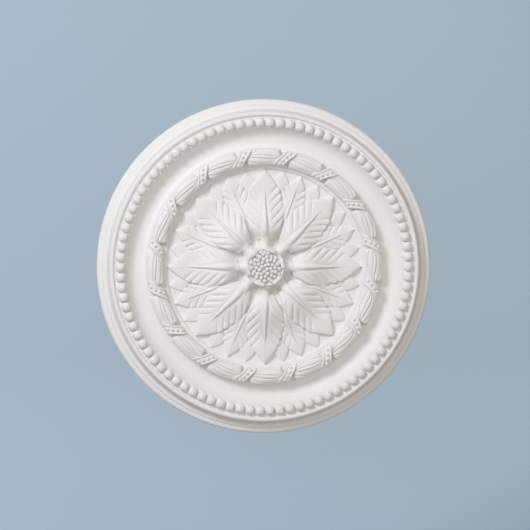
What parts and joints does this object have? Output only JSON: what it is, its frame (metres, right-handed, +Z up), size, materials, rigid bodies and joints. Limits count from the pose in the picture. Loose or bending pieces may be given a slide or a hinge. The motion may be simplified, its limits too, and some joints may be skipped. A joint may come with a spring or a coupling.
{
  "type": "ceiling rose",
  "caption": "Round moulded ceiling rose with a beaded rim, a plain cove, a wreath of bound reeds and rows of leaves around a boss; glued flat to a ceiling as ornament.",
  "frame": {"origin": "middle of the flat back, on the face that is glued to the ceiling", "axes": "+Y out of the flat back, so it points up into the ceiling in use and the carved face looks towards -Y; +Z is up in the picture, where the rose is seen from the front; +X is to the right of that view"},
  "size_m": [0.42, 0.037, 0.42],
  "materials": {
    "white_primer": "matte"
  },
  "bodies": {
    "root": {"ceiling_rose": "white_primer"}
  },
  "joints": []
}
